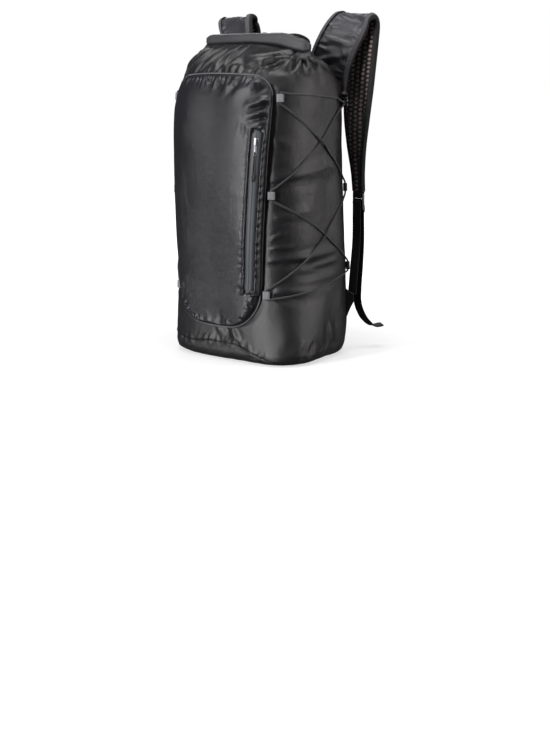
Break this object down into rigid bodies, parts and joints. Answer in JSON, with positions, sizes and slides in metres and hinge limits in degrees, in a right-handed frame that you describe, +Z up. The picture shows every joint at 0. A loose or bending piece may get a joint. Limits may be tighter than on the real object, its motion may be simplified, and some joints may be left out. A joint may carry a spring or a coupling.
{
  "type": "packable roll-top backpack",
  "caption": "Light roll-top day pack standing on its base, with a zipped front pocket, elastic cords on both sides and two padded shoulder straps.",
  "frame": {"origin": "on the ground under the middle of the base", "axes": "+Z up, the front with the pocket towards -Y, the shoulder straps towards +Y, +X to the right of someone who faces the front"},
  "size_m": [0.3172, 0.2605, 0.5328],
  "materials": {
    "body_nylon": "satin",
    "pocket_nylon": "satin",
    "zip_tape": "matte",
    "zip_metal": "satin",
    "piping": "matte",
    "loop_tape": "matte",
    "cord": "matte",
    "strap_nylon": "satin",
    "spacer_mesh": "matte",
    "binding": "matte",
    "webbing": "matte",
    "buckle": "satin"
  },
  "bodies": {
    "pack": {"body_shell": "body_nylon", "base_panel": "body_nylon", "roll_top": "body_nylon", "closure_webbing_right": "webbing", "closure_webbing_left": "webbing", "closure_buckle": "buckle", "front_pocket": "pocket_nylon", "pocket_piping": "piping", "pocket_zip": "zip_tape", "zip_slider": "zip_metal", "zip_puller": "zip_metal", "zip_pull_cord": "cord", "front_loop_upper_right": "loop_tape", "front_loop_upper_left": "loop_tape", "back_loop_upper_right": "webbing", "back_loop_upper_left": "webbing", "front_loop_middle_right": "loop_tape", "front_loop_middle_left": "loop_tape", "back_loop_middle_right": "webbing", "back_loop_middle_left": "webbing", "front_loop_lower_right": "loop_tape", "front_loop_lower_left": "loop_tape", "back_loop_lower_right": "webbing", "back_loop_lower_left": "webbing", "side_cord_right": "cord", "side_cord_left": "cord", "cord_lock_barrel_right": "buckle", "cord_lock_barrel_left": "buckle", "strap_pad_right": "strap_nylon", "strap_pad_left": "strap_nylon", "strap_mesh_right": "spacer_mesh", "strap_mesh_left": "spacer_mesh", "strap_binding_outer_right": "binding", "strap_binding_outer_left": "binding", "strap_binding_inner_right": "binding", "strap_binding_inner_left": "binding", "strap_tab_right": "webbing", "strap_tab_left": "webbing", "ladder_lock_right": "buckle", "ladder_lock_left": "buckle", "strap_webbing_right": "webbing", "strap_webbing_left": "webbing", "anchor_tab_right": "body_nylon", "anchor_tab_left": "body_nylon"},
    "plunger_right": {"cord_lock_plunger_right": "buckle"},
    "plunger_left": {"cord_lock_plunger_left": "buckle"}
  },
  "joints": [
    {"name": "cord_lock_press_right", "type": "slide", "parent": "pack", "child": "plunger_right", "axis": [0.1573, -0.3751, 0.9135], "range_m": [-0.003, 0], "stiffness_N_per_m": 300},
    {"name": "cord_lock_press_left", "type": "slide", "parent": "pack", "child": "plunger_left", "axis": [-0.1573, -0.3751, 0.9135], "range_m": [-0.003, 0], "stiffness_N_per_m": 300}
  ]
}
